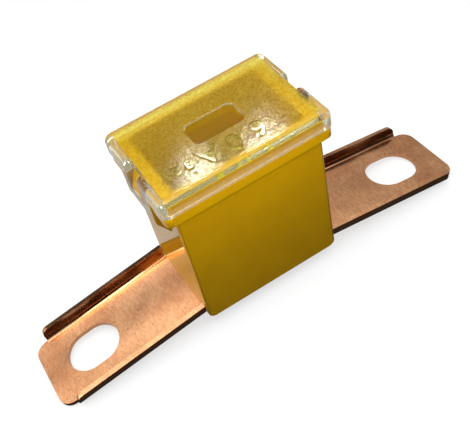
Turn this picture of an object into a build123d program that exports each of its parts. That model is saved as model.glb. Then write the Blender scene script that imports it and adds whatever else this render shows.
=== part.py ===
from build123d import *
import os
from math import cos, radians, sin, tan

os.makedirs("parts", exist_ok=True)

# Bolt-down cartridge fuse, in millimetres.
# X runs along the two legs, Y across them, Z up.
# The origin lies under the middle of the housing, level with the lowest edge of the leg tips.
# Heights named here are measured from the foot of the housing, which stands above the origin by foot_z.

# Housing
body_length = 18.2
body_width = 12.6
wall = 1.1
floor_thickness = 1.4
body_edge_radius = 0.3
side_foot_radius = 1.0
collar_underside = 17.9
collar_height = 1.3
collar_inset = 0.15
cavity_corner_radius = 0.3

# Cover, which stands out past the end walls and the side walls of the housing
end_overhang = 1.3
side_overhang = 0.8
cover_top = 21.4
cover_plate = 1.2
skirt_wall = 0.9
skirt_gap = 0.05
rim_gap = 0.05
cover_corner_radius = 1.0
cover_edge_radius = 0.8
window_length = 6.2
window_width = 3.6
window_radius = 0.8
window_recess = 0.2

# Latch at each end: a tab of the cover with a window, snapped over a wedge of the housing
notch_width = 3.2
tab_width = 5.3
tab_foot = 15.75
tab_bar_height = 1.5
tab_corner_radius = 0.3
guide_rib_width = 0.65
guide_rib_foot = 13.55
wedge_below_plate = 0.2
wedge_lip = 0.3
wedge_proud = 1.2
latch_clearance = 0.1

# Strip of the fuse element, with a leg at each end
strip = 0.6
leg_length = 20.2
leg_droop = 8.3
leg_width = 10.0
leg_top_at_wall = 0.85
leg_tip_radius = 1.6
slot_to_tip = 6.6
slot_length = 7.0
slot_width = 5.5
channel_width = 12.0
flange_angle = 82.0
flange_height = 1.74
flange_wall_gap = 0.05
tip_beyond_flanges = 2.0
flange_bend_radius = 0.9
flange_end_land = 0.05

# Strip inside the housing: two risers, two shoulders and the fusible link between them
riser_clearance = 0.1
riser_width = 10.0
riser_shoulder = 11.0
riser_bend_radius = 0.8
shoulder_bend_radius = 1.5
link_height = 15.2
link_span = 5.6
link_width = 2.2
shoulder_width = 7.0
channel_rib = 0.8
channel_rib_proud = 0.7

# Tin pellet crimped round the middle of the link
pellet_length = 3.0
pellet_width = 3.6
pellet_height = 2.0
pellet_radius = 0.4

# How far a cut runs past the surface it opens
cut_margin = 1.0

# Worked out from the sizes above
droop = radians(leg_droop)
flare = radians(flange_angle)
foot_z = leg_length * sin(droop) + strip * cos(droop) - leg_top_at_wall
wall_face = body_length / 2
wall_inside = wall_face - wall
side_inside = body_width / 2 - wall
cover_length = body_length + 2 * end_overhang
cover_width = body_width + 2 * side_overhang
collar_top = collar_underside + collar_height
collar_length = cover_length - 2 * collar_inset
collar_width = cover_width - 2 * collar_inset
plate_foot = cover_top - cover_plate
neck_top = plate_foot - rim_gap
neck_length = cover_length - 2 * (skirt_wall + latch_clearance)
neck_width = cover_width - 2 * (skirt_wall + latch_clearance)
skirt_foot = collar_top + skirt_gap
skirt_inside = cover_length / 2 - skirt_wall
catch_height = tab_foot + tab_bar_height
wedge_top = neck_top - wedge_below_plate
guide_rib_inside = tab_width / 2 + latch_clearance / 2
strip_passage = leg_width / 2 + latch_clearance
riser_centre = wall_inside - riser_clearance - strip / 2
riser_inside = riser_centre - strip / 2
leg_start_x = wall_face - strip / 2 * sin(droop)
leg_start_z = leg_top_at_wall - strip / 2 * cos(droop)
leg_at_riser_z = leg_start_z + (leg_start_x - riser_centre) * tan(droop)
leg_tip_x = leg_start_x + leg_length * cos(droop)
leg_tip_z = leg_start_z - leg_length * sin(droop)
wall_foot = leg_top_at_wall + wall * tan(droop) + latch_clearance
slot_centre = leg_length - slot_to_tip
flange_end = leg_length - tip_beyond_flanges
flange_tip_y = channel_width / 2 - strip / 2 * sin(flare)
flange_bend_y = flange_tip_y - flange_height * cos(flare)
flange_flat = flange_height - flange_bend_radius * tan(flare / 2)


def level(height):
    """Horizontal plane at a height above the foot of the housing."""
    return Plane.XY.offset(foot_z + height)


def upright(points):
    """Outline in the XZ plane from points given as x and height above the foot."""
    return [(x, foot_z + height) for x, height in points]


def end_profiles(points, y_from, y_to, mode):
    """The same XZ outline at both ends of the part, filled from y_from to y_to."""
    with BuildSketch(Plane.XZ.offset(-y_to)) as outline:
        with BuildLine():
            Polyline(*upright(points), close=True)
        make_face()
        mirror(about=Plane.YZ)
    extrude(outline.sketch, amount=y_to - y_from, dir=(0, -1, 0), mode=mode)


# Housing: a deep box, open at the top, with a collar under the cover and a latch at each end
with BuildPart() as housing:
    with BuildSketch(level(0)):
        RectangleRounded(body_length, body_width, body_edge_radius)
    extrude(amount=collar_top)
    with BuildSketch(level(collar_underside)):
        RectangleRounded(collar_length, collar_width, cover_corner_radius - collar_inset)
    extrude(amount=collar_height)
    with BuildSketch(level(collar_top)):
        RectangleRounded(neck_length, neck_width, body_edge_radius)
    extrude(amount=neck_top - collar_top)

    # Way for the tabs through the collar
    with BuildSketch(level(collar_underside)):
        Rectangle(2 * cover_length, 2 * guide_rib_inside)
        Rectangle(body_length, 2 * guide_rib_inside, mode=Mode.SUBTRACT)
    extrude(amount=collar_height, mode=Mode.SUBTRACT)

    # Guide ribs on both sides of each tab, with a bevelled foot
    rib = [
        (wall_inside, guide_rib_foot - wall),
        (wall_face, guide_rib_foot),
        (cover_length / 2, tab_foot),
        (cover_length / 2, collar_top),
        (wall_inside, collar_top),
    ]
    end_profiles(rib, guide_rib_inside, guide_rib_inside + guide_rib_width, Mode.ADD)
    end_profiles(rib, -guide_rib_inside - guide_rib_width, -guide_rib_inside, Mode.ADD)

    # Wedges that the tabs snap over
    wedge_base = catch_height + latch_clearance
    wedge = [
        (wall_inside, wedge_base),
        (wall_face + wedge_proud, wedge_base),
        (wall_face + wedge_proud, wedge_base + wedge_lip),
        (neck_length / 2, wedge_top),
        (wall_inside, wedge_top),
    ]
    wedge_half = notch_width / 2 - latch_clearance
    end_profiles(wedge, -wedge_half, wedge_half, Mode.ADD)

    # Cavity, with a channel for each edge of the two risers
    with BuildSketch(level(floor_thickness)):
        RectangleRounded(2 * wall_inside, 2 * side_inside, cavity_corner_radius)
    extrude(amount=neck_top - floor_thickness, mode=Mode.SUBTRACT)
    channel_x = riser_inside - riser_clearance - channel_rib / 2
    channel_y = side_inside - channel_rib_proud / 2
    with BuildSketch(level(floor_thickness)):
        with GridLocations(2 * channel_x, 2 * channel_y, 2, 2):
            Rectangle(channel_rib, channel_rib_proud)
    extrude(amount=riser_shoulder - floor_thickness)

    # Slots in the floor for the risers, and the room for the legs under the end walls
    passage = [
        (riser_inside - riser_clearance, -cut_margin),
        (riser_inside - riser_clearance, floor_thickness + cut_margin),
        (wall_inside, floor_thickness + cut_margin),
        (wall_inside, wall_foot + riser_bend_radius),
        (wall_inside + riser_bend_radius, wall_foot),
        (wall_face + cut_margin, wall_foot),
        (wall_face + cut_margin, -cut_margin),
    ]
    end_profiles(passage, -strip_passage, strip_passage, Mode.SUBTRACT)

    # Lower corners of the side walls
    arc_x = wall_face - side_foot_radius
    arc_z = foot_z + side_foot_radius
    with BuildSketch(Plane.XZ):
        with Locations((arc_x, arc_z), (-arc_x, arc_z)):
            Rectangle(2 * side_foot_radius, 2 * side_foot_radius)
        Rectangle(2 * arc_x, 3 * arc_z, mode=Mode.SUBTRACT)
        with Locations((0, arc_z + side_foot_radius)):
            Rectangle(body_length, 2 * side_foot_radius, mode=Mode.SUBTRACT)
        with Locations((arc_x, arc_z), (-arc_x, arc_z)):
            Circle(side_foot_radius, mode=Mode.SUBTRACT)
    extrude(amount=body_width, both=True, mode=Mode.SUBTRACT)
housing.part.label = "housing"
export_step(housing.part, "parts/housing.step")


# Cover: a clear cap with a skirt, notched at both ends above its latch tabs
with BuildPart() as cover:
    with BuildSketch(level(skirt_foot)):
        RectangleRounded(cover_length, cover_width, cover_corner_radius)
    extrude(amount=cover_top - skirt_foot)
    fillet(cover.faces().sort_by(Axis.Z)[-1].edges(), cover_edge_radius)
    tab = [
        (skirt_inside, tab_foot),
        (cover_length / 2, tab_foot),
        (cover_length / 2, skirt_foot),
        (skirt_inside, skirt_foot),
    ]
    end_profiles(tab, -tab_width / 2, tab_width / 2, Mode.ADD)
    tab_corners = cover.edges().filter_by(Axis.X).group_by(Axis.Z)[0]
    fillet(tab_corners, tab_corner_radius)
    with BuildSketch(level(skirt_foot)):
        RectangleRounded(2 * skirt_inside, cover_width - 2 * skirt_wall, body_edge_radius)
    extrude(amount=plate_foot - skirt_foot, mode=Mode.SUBTRACT)

    # Notch and window of each latch, one straight cut from above
    with BuildSketch(level(catch_height)):
        Rectangle(2 * cover_length, notch_width)
        Rectangle(2 * skirt_inside, notch_width, mode=Mode.SUBTRACT)
    extrude(amount=cover_top - catch_height, mode=Mode.SUBTRACT)

    # Polished viewing window
    with BuildSketch(level(cover_top)):
        RectangleRounded(window_length, window_width, window_radius)
    extrude(amount=-window_recess, mode=Mode.SUBTRACT)
cover.part.label = "cover"
export_step(cover.part, "parts/cover.step")


# Fuse element: one stamped and bent strip from bolt slot to bolt slot
with BuildPart() as fuse_element:
    with BuildSketch(Plane.XZ):
        with BuildLine():
            route = [
                (leg_tip_x, leg_tip_z),
                (riser_centre, leg_at_riser_z),
                (riser_centre, riser_shoulder),
                (link_span / 2, link_height),
            ]
            far_route = [(-x, height) for x, height in reversed(route)]
            bends = [riser_bend_radius, shoulder_bend_radius, shoulder_bend_radius]
            FilletPolyline(*upright(route + far_route), radius=bends + bends[::-1])
        trace(line_width=strip)
    extrude(amount=leg_width / 2, both=True)

    # Width of the strip inside the housing, from the risers to the link
    top = link_height + strip
    trim = [
        (riser_width / 2, riser_shoulder / 2),
        (shoulder_width / 2, riser_shoulder),
        (link_width / 2, link_height - strip),
        (link_width / 2, top),
        (leg_width, top),
        (leg_width, riser_shoulder / 2),
    ]
    with BuildSketch(Plane.YZ.offset(-wall_inside)):
        with BuildLine():
            Polyline(*upright(trim), close=True)
        make_face()
        mirror(about=Plane.YZ)
    extrude(amount=2 * wall_inside, mode=Mode.SUBTRACT)

    # Upturned flanges along both edges of each leg, upright beside the end wall and rounded at the tip
    leg_axis = Vector(cos(droop), 0, -sin(droop))
    leg_normal = Vector(sin(droop), 0, cos(droop))
    leg_start = Vector(leg_start_x, 0, foot_z + leg_start_z)
    section = [
        (-flange_tip_y, flange_height * sin(flare)),
        (-flange_bend_y, 0),
        (flange_bend_y, 0),
        (flange_tip_y, flange_height * sin(flare)),
    ]
    with BuildPart(mode=Mode.PRIVATE) as channel:
        with BuildSketch(Plane(origin=leg_start - leg_axis * cut_margin, x_dir=(0, 1, 0), z_dir=leg_axis)):
            with BuildLine():
                FilletPolyline(*section, radius=flange_bend_radius)
            trace(line_width=strip)
        extrude(amount=flange_end + cut_margin)
        split(bisect_by=Plane.YZ.offset(wall_face + flange_wall_gap))
        tip_face = channel.faces().sort_by(Axis(leg_start, leg_axis))[-1]
        rim_corners = tip_face.edges().sort_by(Axis(leg_start, leg_normal))[-2:]
        fillet(rim_corners, flange_flat - flange_end_land)
    add(channel.part)
    mirror(channel.part, about=Plane.YZ)

    # Rounded corners of the tip and the bolt slot of each leg
    for side in (1, -1):
        outward = Vector(side * leg_axis.X, 0, leg_axis.Z)
        upward = Vector(side * leg_normal.X, 0, leg_normal.Z)
        start = Vector(side * leg_start.X, 0, leg_start.Z)
        tip_corners = fuse_element.edges().filter_by(Axis(start, upward)).sort_by(Axis(start, outward))[-2:]
        fillet(tip_corners, leg_tip_radius)
        with BuildSketch(Plane(origin=start, x_dir=outward, z_dir=upward)):
            with Locations((slot_centre, 0)):
                SlotOverall(slot_length, slot_width)
        extrude(amount=strip, both=True, mode=Mode.SUBTRACT)
fuse_element.part.label = "fuse_element"
export_step(fuse_element.part, "parts/fuse_element.step")


# Tin pellet: a sleeve that fills up to the link on all sides
with BuildPart() as tin_pellet:
    with BuildSketch(level(link_height - pellet_height / 2)):
        Rectangle(pellet_length, pellet_width)
    extrude(amount=pellet_height)
    fillet(tin_pellet.edges(), pellet_radius)
    with BuildSketch(level(link_height - strip / 2)):
        Rectangle(2 * pellet_length, link_width)
    extrude(amount=strip, mode=Mode.SUBTRACT)
tin_pellet.part.label = "tin_pellet"
export_step(tin_pellet.part, "parts/tin_pellet.step")
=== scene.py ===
import math
import bmesh
import bpy
from mathutils import Matrix, Vector


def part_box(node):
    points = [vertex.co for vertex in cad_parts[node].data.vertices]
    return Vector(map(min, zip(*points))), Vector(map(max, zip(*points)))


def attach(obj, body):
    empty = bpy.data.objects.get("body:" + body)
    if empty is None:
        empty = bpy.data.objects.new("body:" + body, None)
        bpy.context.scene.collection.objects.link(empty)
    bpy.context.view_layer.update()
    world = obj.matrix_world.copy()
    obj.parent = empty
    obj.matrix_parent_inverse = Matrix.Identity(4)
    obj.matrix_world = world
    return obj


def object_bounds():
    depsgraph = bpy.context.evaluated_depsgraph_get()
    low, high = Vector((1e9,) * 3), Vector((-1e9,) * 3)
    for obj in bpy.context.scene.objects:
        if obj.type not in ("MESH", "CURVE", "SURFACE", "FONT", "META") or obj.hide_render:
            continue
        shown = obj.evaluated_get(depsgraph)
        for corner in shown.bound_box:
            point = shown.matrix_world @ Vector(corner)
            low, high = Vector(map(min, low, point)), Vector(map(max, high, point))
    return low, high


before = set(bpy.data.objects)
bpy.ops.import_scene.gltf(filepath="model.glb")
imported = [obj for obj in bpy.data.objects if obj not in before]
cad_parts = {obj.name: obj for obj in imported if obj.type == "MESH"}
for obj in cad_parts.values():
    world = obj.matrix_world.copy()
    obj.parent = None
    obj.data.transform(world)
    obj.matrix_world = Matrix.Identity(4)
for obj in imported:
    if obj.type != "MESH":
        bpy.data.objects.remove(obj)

cad_low, cad_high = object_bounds()
MM = 0.001
scene = bpy.context.scene
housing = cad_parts["housing"]
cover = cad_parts["cover"]
fuse_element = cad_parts["fuse_element"]
tin_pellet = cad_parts["tin_pellet"]
foot_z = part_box("housing")[0].z
cover_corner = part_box("cover")[1]
cover_top = cover_corner.z

# Frosted part of the cover's top, and the hazy foot of its skirt
frost_margin = 0.95 * MM
frost_fade = 0.1 * MM
haze_from = 1.6 * MM
haze_to = 1.2 * MM

# Rounding of the edges
moulded_rounding = 0.08 * MM
stamped_rounding = 0.09 * MM

# Raised letters
letter_half_depth = 0.05 * MM
letter_rounding = 0.04 * MM
letter_sunk = 0.005 * MM

# Slight waves across the rolled strip
roll_pitch = 8 * MM
roll_shift = 0.5 * MM

# Floor and lamps
floor_half = 1.2
floor_gap = 0.02 * MM
strip_length = 40 * MM
strip_height = 8 * MM
strip_aim_y = 6 * MM
strip_aim_z = 10 * MM


# Node helpers
class Graph:
    """A material's or a world's node tree, with short calls for the nodes used here."""

    def __init__(self, owner):
        owner.use_nodes = True
        self.tree = owner.node_tree
        self.tree.nodes.clear()

    def node(self, kind, inputs=(), **settings):
        n = self.tree.nodes.new(kind)
        for key, value in settings.items():
            setattr(n, key, value)
        for key, value in dict(inputs).items():
            self.put(n.inputs[key], value)
        return n

    def put(self, socket, value):
        if isinstance(value, bpy.types.NodeSocket):
            self.tree.links.new(value, socket)
        else:
            socket.default_value = value

    def math(self, operation, a, b=0.0, clamp=False):
        n = self.node("ShaderNodeMath", {0: a, 1: b}, operation=operation, use_clamp=clamp)
        return n.outputs[0]

    def ramp(self, value, low, high, out_low=0.0, out_high=1.0):
        """Eases from out_low, where the value is low, to out_high, where it is high."""
        ends = {"From Min": low, "From Max": high, "To Min": out_low, "To Max": out_high}
        n = self.node("ShaderNodeMapRange", {"Value": value, **ends}, interpolation_type="SMOOTHSTEP")
        return n.outputs[0]

    def mix(self, factor, a, b):
        n = self.node("ShaderNodeMix", {"Factor": factor}, data_type="RGBA")
        for socket, value in ((n.inputs[6], a), (n.inputs[7], b)):
            self.put(socket, value if isinstance(value, bpy.types.NodeSocket) else (*value, 1.0))
        return n.outputs[2]

    def blend(self, factor, a, b):
        return self.node("ShaderNodeMixShader", {0: factor, 1: a, 2: b}).outputs[0]

    def place(self, scale=(1, 1, 1)):
        at = self.node("ShaderNodeTexCoord").outputs["Object"]
        return self.node("ShaderNodeMapping", {"Vector": at, "Scale": scale}).outputs[0]

    def axes(self, vector):
        return self.node("ShaderNodeSeparateXYZ", {0: vector}).outputs

    def noise(self, where, scale, detail, rough):
        inputs = {"Vector": where, "Scale": scale, "Detail": detail, "Roughness": rough}
        return self.node("ShaderNodeTexNoise", inputs).outputs["Fac"]

    def bump(self, height, strength, distance, normal=None):
        n = self.node("ShaderNodeBump", {"Height": height, "Strength": strength, "Distance": distance})
        if normal is not None:
            self.put(n.inputs["Normal"], normal)
        return n.outputs[0]

    def seen(self, path):
        """1 for the camera's own rays, also where they have only passed through the clear cover."""
        bounced = self.math("ADD", path.outputs["Glossy Depth"], path.outputs["Diffuse Depth"])
        through = path.outputs["Is Transmission Ray"]
        straight = self.math("MULTIPLY", through, self.math("LESS_THAN", bounced, 0.5))
        return self.math("ADD", path.outputs["Is Camera Ray"], straight, clamp=True)

    def late(self, path):
        """1 for rays that were mirrored three times or more."""
        return self.math("GREATER_THAN", path.outputs["Glossy Depth"], 2.5)

    def surface(self, shader, kind="ShaderNodeOutputMaterial"):
        self.node(kind, {"Surface": shader})


def srgb(r, g, b):
    """A colour given as it looks on the screen, 0 to 255, turned into the linear values that shaders take."""
    def one(c):
        c = c / 255
        return c / 12.92 if c <= 0.04045 else ((c + 0.055) / 1.055) ** 2.4
    return (one(r), one(g), one(b))


def dress(obj, material):
    obj.data.materials.clear()
    obj.data.materials.append(material)


def soften(obj, width):
    """Rounds the sharp edges of a piece a little, so that they catch the light."""
    weld = obj.modifiers.new("weld", "WELD")
    weld.merge_threshold = 0.0005 * MM
    flat = obj.modifiers.new("flat", "DECIMATE")
    flat.decimate_type = "DISSOLVE"
    flat.angle_limit = math.radians(0.5)
    bevel = obj.modifiers.new("bevel", "BEVEL")
    bevel.width = width
    bevel.segments = 2
    bevel.limit_method = "ANGLE"
    bevel.angle_limit = math.radians(35)
    bevel.harden_normals = True


# Materials
def yellow_plastic():
    m = bpy.data.materials.new("yellow_plastic")
    g = Graph(m)
    at = g.place()
    cloud = g.noise(at, 260, 3, 0.55)
    grain = g.noise(at, 2600, 2, 0.6)
    shader = g.node("ShaderNodeBsdfPrincipled", {
        "Base Color": g.mix(g.ramp(cloud, 0.3, 0.7), srgb(201, 152, 0), srgb(207, 158, 0)),
        "Roughness": g.ramp(grain, 0.3, 0.7, 0.06, 0.12),
        "Normal": g.bump(grain, 0.03, 0.02 * MM),
        "IOR": 1.5,
        "Subsurface Weight": 0.2,
        "Subsurface Radius": (1.0, 0.6, 0.03),
        "Subsurface Scale": 1.0 * MM,
    })
    g.surface(shader.outputs[0])
    return m


def clear_plastic():
    """Clear moulding with a finely spark-eroded top. Light falls through it on what lies inside. Its frosted
    top is tinted with painted light: the yellow glow from inside, specks of painted glint and a golden
    painted reflection.
    """
    m = bpy.data.materials.new("clear_plastic")
    g = Graph(m)
    at = g.place()
    x, y, z = g.axes(at)

    # The frosting covers the level top, apart from a margin, and stops at the sunk window
    top = g.math("COMPARE", z, cover_top)
    top.node.inputs[2].default_value = 0.02 * MM
    for across, half in ((x, cover_corner.x), (y, cover_corner.y)):
        edge = half - frost_margin
        inside = g.ramp(g.math("ABSOLUTE", across), edge - frost_fade, edge + frost_fade, 1.0, 0.0)
        top = g.math("MULTIPLY", top, inside)

    fine = g.noise(at, 4800, 2, 0.7)
    coarse = g.noise(at, 1500, 2, 0.5)
    pits = g.math("ADD", fine, g.math("MULTIPLY", coarse, 0.8))
    # Painted light: the frosted top is coloured with the yellow glow of the housing inside, in fine brighter
    # and darker specks
    grain = g.mix(g.ramp(fine, 0.40, 0.60), srgb(213, 196, 30), srgb(254, 251, 76))
    # Painted glints: in the brightest specks part of the top stops being clear and shows lit yellow colour
    painted_sparkle = g.ramp(fine, 0.60, 0.68, 0.0, 0.40)
    glaze = g.ramp(fine, 0.44, 0.60, 0.15, 1.0)
    skirt = g.ramp(z, cover_top - haze_from, cover_top - haze_to, 0.08, 0.0)
    haze = g.math("MAXIMUM", g.math("MULTIPLY", top, painted_sparkle), skirt)
    shader = g.node("ShaderNodeBsdfPrincipled", {
        "Base Color": g.mix(top, srgb(226, 232, 228), grain),
        "Roughness": g.ramp(top, 0, 1, 0.03, 0.5),
        "IOR": 1.5,
        "Transmission Weight": g.math("SUBTRACT", 1.0, haze),
        # Painted reflection: the frosted top's reflections are tinted golden
        "Specular Tint": g.mix(top, (1, 1, 1), srgb(130, 100, 30)),
        "Coat Weight": g.math("MULTIPLY", top, glaze),
        "Coat Roughness": 0.09,
        "Coat Normal": g.bump(pits, 0.03, 0.08 * MM),
        "Normal": g.bump(g.math("MULTIPLY", pits, top), 0.3, 0.08 * MM),
    })

    # Shadow rays, diffuse rays and rays that were mirrored often pass straight through
    path = g.node("ShaderNodeLightPath")
    soft_ray = g.math("MAXIMUM", path.outputs["Is Shadow Ray"], path.outputs["Is Diffuse Ray"])
    soft_ray = g.math("MAXIMUM", soft_ray, g.late(path))
    open_way = g.node("ShaderNodeBsdfTransparent", {"Color": (*srgb(252, 251, 246), 1.0)})
    g.surface(g.blend(soft_ray, shader.outputs[0], open_way.outputs[0]))
    return m


def copper():
    """Rolled copper alloy, brushed across, with darker specks and shallow waves."""
    m = bpy.data.materials.new("copper_alloy")
    g = Graph(m)
    at = g.place()
    stain = g.noise(at, 150, 4, 0.62)
    brushed = g.noise(g.place(scale=(1, 0.3, 1)), 4000, 2, 0.6)
    specks = g.noise(at, 2600, 2, 0.7)
    tone = g.mix(g.ramp(stain, 0.36, 0.62), srgb(222, 156, 110), srgb(240, 180, 132))
    tone = g.mix(g.ramp(brushed, 0.38, 0.62, 0.28, 0.0), tone, srgb(178, 108, 70))
    tone = g.mix(g.ramp(specks, 0.62, 0.70, 0.0, 0.5), tone, srgb(140, 80, 46))
    wave = g.math("MULTIPLY", g.noise(at, 190, 1, 0.4), 2.0)
    turn = g.math("MULTIPLY", g.math("SUBTRACT", roll_shift, g.axes(at)[1]), math.tau / roll_pitch)
    rolled = g.math("MULTIPLY", g.math("SINE", turn), 0.5)
    scratches = g.bump(brushed, 0.14, 0.04 * MM)
    shader = g.node("ShaderNodeBsdfPrincipled", {
        "Base Color": tone,
        "Metallic": 1.0,
        "Roughness": g.ramp(stain, 0.3, 0.7, 0.17, 0.26),
        "Normal": g.bump(g.math("ADD", wave, rolled), 1.0, 0.08 * MM, scratches),
    })
    g.surface(shader.outputs[0])
    return m


def tin():
    m = bpy.data.materials.new("tin")
    g = Graph(m)
    cloud = g.noise(g.place(), 900, 4, 0.6)
    shader = g.node("ShaderNodeBsdfPrincipled", {
        "Base Color": g.mix(cloud, srgb(138, 112, 90), srgb(168, 136, 108)),
        "Metallic": 1.0,
        "Roughness": g.ramp(cloud, 0.3, 0.7, 0.35, 0.5),
        "Normal": g.bump(cloud, 0.3, 0.04 * MM),
    })
    g.surface(shader.outputs[0])
    return m


dress(housing, yellow_plastic())
dress(cover, clear_plastic())
dress(fuse_element, copper())
dress(tin_pellet, tin())
soften(housing, moulded_rounding)
soften(cover, moulded_rounding)
soften(fuse_element, stamped_rounding)


# Raised ratings on the lid, read from the back
def rating(name, text, size, places):
    """Sets each letter of a rating at its own place, (x, y) in millimetres, and joins them to one piece."""
    height = cover_top + letter_half_depth + letter_rounding - letter_sunk
    whole = bmesh.new()
    for letter, (x, y) in zip(text, places):
        curve = bpy.data.curves.new("letter", "FONT")
        curve.body = letter
        curve.size = size
        curve.align_x = "CENTER"
        curve.align_y = "CENTER"
        curve.extrude = letter_half_depth
        curve.bevel_depth = letter_rounding
        curve.bevel_resolution = 1
        curve.resolution_u = 4
        source = bpy.data.objects.new("letter", curve)
        scene.collection.objects.link(source)
        bpy.context.view_layer.update()
        solid = source.evaluated_get(bpy.context.evaluated_depsgraph_get())
        mesh = bpy.data.meshes.new_from_object(solid)
        bpy.data.objects.remove(source)
        at = Vector((x * MM, y * MM, height))
        mesh.transform(Matrix.Translation(at) @ Matrix.Rotation(math.pi, 4, "Z"))
        whole.from_mesh(mesh)
        bpy.data.meshes.remove(mesh)
    mesh = bpy.data.meshes.new(name)
    whole.to_mesh(mesh)
    whole.free()
    piece = bpy.data.objects.new(name, mesh)
    scene.collection.objects.link(piece)
    dress(piece, cover.data.materials[0])
    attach(piece, "root")


rating("rating_current", "60A", 3.5 * MM, ((3.1, -4.0), (0.1, -4.0), (-2.8, -3.9)))
rating("rating_voltage", "32V", 1.8 * MM, ((-5.2, -3.7), (-6.6, -3.7), (-8.0, -3.7)))


# Floor
def pale_floor():
    """White to the camera. The glossy sides see it bright behind the part and dark in front of it, a painted
    shade; to bounced light it is nearly black.
    """
    m = bpy.data.materials.new("pale_floor")
    g = Graph(m)
    path = g.node("ShaderNodeLightPath")
    seen = g.seen(path)
    glossy = path.outputs["Is Glossy Ray"]
    # Painted shade: reflections see the floor glow much darker in front of the part than behind it
    behind = g.ramp(g.axes(g.place())[1], -4 * MM, -1.5 * MM)
    mirrored = g.math("ADD", g.math("MULTIPLY", behind, 0.5), 0.04)
    # Painted shade: to bounced light the floor is nearly black, so the part's lower faces stay dark
    diffuse = g.node("ShaderNodeBsdfDiffuse", {"Color": g.mix(seen, (0.04, 0.04, 0.04), (0.85, 0.85, 0.85))})
    strength = g.math("ADD", seen, g.math("MULTIPLY", glossy, mirrored))
    glow = g.node("ShaderNodeEmission", {"Color": (1, 1, 1, 1), "Strength": strength})
    share = g.math("ADD", g.math("MULTIPLY", seen, 0.7), glossy, clamp=True)
    g.surface(g.blend(share, diffuse.outputs[0], glow.outputs[0]))
    return m


floor_mesh = bpy.data.meshes.new("floor")
corners = [(x * floor_half, y * floor_half, 0) for x, y in ((-1, -1), (1, -1), (1, 1), (-1, 1))]
floor_mesh.from_pydata(corners, [], [(0, 1, 2, 3)])
floor = bpy.data.objects.new("floor", floor_mesh)
scene.collection.objects.link(floor)
floor.location.z = cad_low.z - floor_gap
dress(floor, pale_floor())


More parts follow.
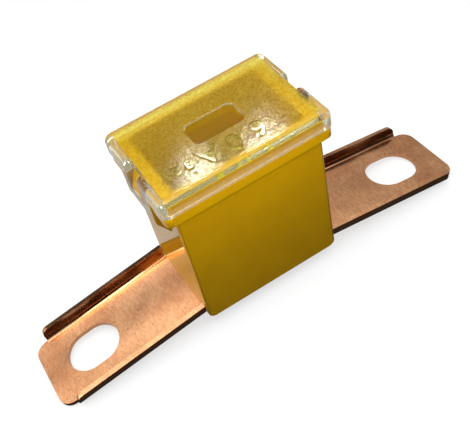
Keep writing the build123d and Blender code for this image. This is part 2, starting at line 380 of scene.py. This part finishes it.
# World
def studio():
    """White to the camera. Other rays see a room with a lit sky, dark screens and lamps."""
    world = bpy.data.worlds.new("studio")
    g = Graph(world)
    path = g.node("ShaderNodeLightPath")
    seen = g.seen(path)
    unseen = g.math("SUBTRACT", 1.0, seen)
    look = g.node("ShaderNodeTexCoord").outputs["Generated"]
    look_y, look_z = g.axes(look)[1:]

    def lobe(direction, wide, tight, strength):
        """The strength within the angle tight of a direction, 0 beyond the angle wide, in degrees."""
        aim = tuple(Vector(direction).normalized())
        dot = g.node("ShaderNodeVectorMath", {0: look, 1: aim}, operation="DOT_PRODUCT").outputs["Value"]
        return g.ramp(dot, math.cos(math.radians(wide)), math.cos(math.radians(tight)), 0.0, strength)

    # Sky, brighter overhead and dark in front
    high = g.math("ADD", look_z, g.math("MULTIPLY", look_y, 0.3))
    back_sky = g.ramp(look_y, -0.30, 0.05)
    high_sky = g.ramp(high, 0.70, 0.95)
    room = g.math("MAXIMUM", g.math("MAXIMUM", back_sky, high_sky), 0.03)
    room = g.math("MULTIPLY", room, 0.43)
    room = g.math("ADD", room, g.ramp(high, 0.74, 0.96, 0.0, 0.62))
    room = g.math("ADD", room, g.ramp(high, 0.97, 1.02, 0.0, 0.6))

    # Dark screens behind the part, two for the lid and one for the far flange
    for screen in (
        ((0.26, 0.71, 0.653), 12, 5, 0.92),
        ((0.19, 0.83, 0.52), 25, 15, 0.88),
        ((-0.224, 0.831, 0.509), 17, 9, 0.9),
    ):
        room = g.math("MULTIPLY", room, g.math("SUBTRACT", 1.0, lobe(*screen)))

    # Lamps: one overhead, two on the left, and two small ones for the glare on the lid
    for lamp in (
        ((-0.15, -0.12, 0.98), 21, 13, 5.0),
        ((-0.85, 0.0, 0.55), 36, 14, 1.3),
        ((-0.85, 0.20, 0.45), 48, 20, 0.5),
        ((0.217, 0.684, 0.697), 1.9, 0.8, 46.0),
        ((0.308, 0.662, 0.684), 1.9, 0.8, 43.0),
    ):
        room = g.math("ADD", room, lobe(*lamp))

    # Rays inside the clear cover, and rays that were mirrored often, see at least a warm pale room
    inner = g.math("MAXIMUM", path.outputs["Is Transmission Ray"], g.late(path))
    room = g.math("MAXIMUM", room, g.math("MULTIPLY", inner, 0.4))
    strength = g.math("ADD", g.math("MULTIPLY", room, unseen), seen)
    colour = g.mix(g.math("MULTIPLY", inner, unseen), (1, 1, 1), (1, 0.9, 0.62))
    small_lamps = lobe((0.262, 0.673, 0.690), 6, 5, 1.0)
    colour = g.mix(small_lamps, colour, (1.0, 1.0, 0.84))
    sky = g.node("ShaderNodeBackground", {"Color": colour, "Strength": strength})
    g.surface(sky.outputs[0], "ShaderNodeOutputWorld")
    return world


scene.world = studio()


# Strip lamps in front and behind
def strip(name, y, z, energy):
    """A lamp aimed at the near face of the housing, with y and z in millimetres from its middle and foot."""
    data = bpy.data.lights.new(name, "AREA")
    data.shape = "RECTANGLE"
    data.size = strip_length
    data.size_y = strip_height
    data.energy = energy
    lamp = bpy.data.objects.new(name, data)
    scene.collection.objects.link(lamp)
    lamp.location = (0, y * MM, foot_z + z * MM)
    aim = Vector((0, math.copysign(strip_aim_y, y), foot_z + strip_aim_z)) - lamp.location
    lamp.rotation_euler = aim.to_track_quat("-Z", "Y").to_euler()
    lamp.visible_camera = False
    lamp.visible_glossy = False
    lamp.visible_transmission = False


strip("front_strip", -22, 35, 0.0092)
strip("back_strip", 30, 22, 0.009)

# Camera, with its place in millimetres from the foot of the housing
lens = bpy.data.cameras.new("camera")
camera = bpy.data.objects.new("camera", lens)
scene.collection.objects.link(camera)
right = Vector((0.847009, -0.49164, -0.202155))
up = Vector((0.497656, 0.599703, 0.626654))
back = Vector((-0.186855, -0.631385, 0.752621))
eye = Vector((-21.631, -58.53, 74.854)) * MM + Vector((0, 0, foot_z))
camera.matrix_world = Matrix.Translation(eye) @ Matrix((right, up, back)).transposed().to_4x4()
lens.sensor_width = 36.0
lens.lens = 59.011
lens.shift_x = 0.05319
lens.shift_y = 0.04255
lens.clip_start = 0.001
lens.clip_end = 10
scene.camera = camera

scene.view_settings.view_transform = "Standard"
